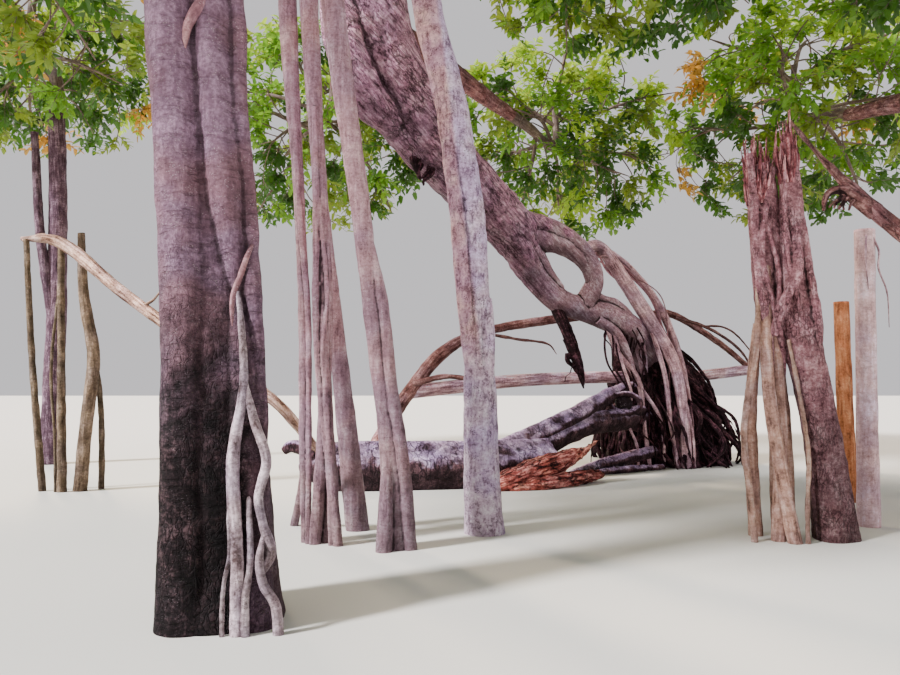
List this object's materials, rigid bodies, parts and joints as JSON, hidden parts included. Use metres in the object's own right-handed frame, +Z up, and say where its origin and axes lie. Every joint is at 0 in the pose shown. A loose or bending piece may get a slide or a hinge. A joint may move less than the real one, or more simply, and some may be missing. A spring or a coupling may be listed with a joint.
{
  "type": "banyan tree",
  "caption": "Old banyan tree on prop stems, its great limb sweeping down into a ring of fused roots over the overturned old trunk, under a broad leafy crown.",
  "frame": {"origin": "middle of the flat cut under the leaning front trunk, at ground level", "axes": "+Z up, +X to the right and +Y away from the side that the tree is usually seen from"},
  "size_m": [22.9961, 20.4655, 12.543],
  "materials": {
    "bark_trunk": "matte purple-grey bark, darker and fissured low down",
    "bark_limb": "rough dark purple-brown bark",
    "bark_prop": "smooth pale pinkish-grey bark",
    "bark_mottled": "pale grey bark with dark specks",
    "root_pale": "smooth pale root bark",
    "root_dark": "dark tangled roots",
    "bark_fallen": "weathered dark bark",
    "wood_rotten": "orange-brown decayed wood",
    "wood_pale": "bare weathered wood",
    "bark_broken": "reddish torn wood and rough bark",
    "wood_sawn": "pale bark with a flat sawn top",
    "leaves": "yellow-green to dark green leaves on thin twigs"
  },
  "bodies": {
    "root": {"arch_root_inner": "root_pale", "arch_root_main": "root_pale", "arch_root_outer": "root_pale", "arched_root_left": "bark_prop", "arched_root_right": "bark_prop", "bough_far_right": "bark_prop", "bough_front_left": "bark_prop", "bough_front_right": "bark_prop", "bough_left": "bark_prop", "bough_limb_right": "bark_limb", "bough_over_props": "bark_prop", "bough_rear_left": "bark_limb", "bough_rear_right": "bark_limb", "bough_riser": "bark_prop", "broken_stem_column": "bark_broken", "broken_stem_leaning": "bark_broken", "drooping_bough": "bark_limb", "fallen_bough": "wood_pale", "fallen_fork_lower": "bark_fallen", "fallen_fork_upper": "bark_fallen", "fallen_log": "bark_fallen", "fallen_low_limb": "bark_fallen", "far_left_stem": "bark_prop", "foliage_centre": "leaves", "foliage_far_left": "leaves", "foliage_far_right": "leaves", "foliage_front_left": "leaves", "foliage_front_right": "leaves", "foliage_left": "leaves", "foliage_limb_right": "leaves", "foliage_limb_top": "leaves", "foliage_over_props": "leaves", "foliage_rear_left": "leaves", "foliage_rear_right": "leaves", "foliage_right": "leaves", "foliage_trunk_top": "leaves", "great_limb": "bark_limb", "hanging_stub": "root_dark", "leaning_stem": "bark_prop", "left_prop_short": "bark_prop", "left_prop_slim": "bark_prop", "left_prop_thick": "bark_prop", "mottled_stem": "bark_mottled", "outer_right_stem": "bark_prop", "pale_pole_left": "wood_pale", "pale_pole_right": "wood_pale", "prop_stem_broad": "bark_prop", "prop_stem_left": "bark_prop", "prop_stem_middle": "bark_prop", "ring_foot": "root_pale", "ring_lower_arm": "root_pale", "ring_upper_arm": "root_pale", "root_plate": "root_dark", "rotten_slab": "wood_rotten", "sawn_stem_short": "wood_rotten", "sawn_stem_tall": "wood_sawn", "trunk": "bark_trunk", "trunk_creeping_roots": "root_pale", "trunk_rib_root": "bark_trunk", "trunk_side_root": "bark_trunk"}
  },
  "joints": []
}
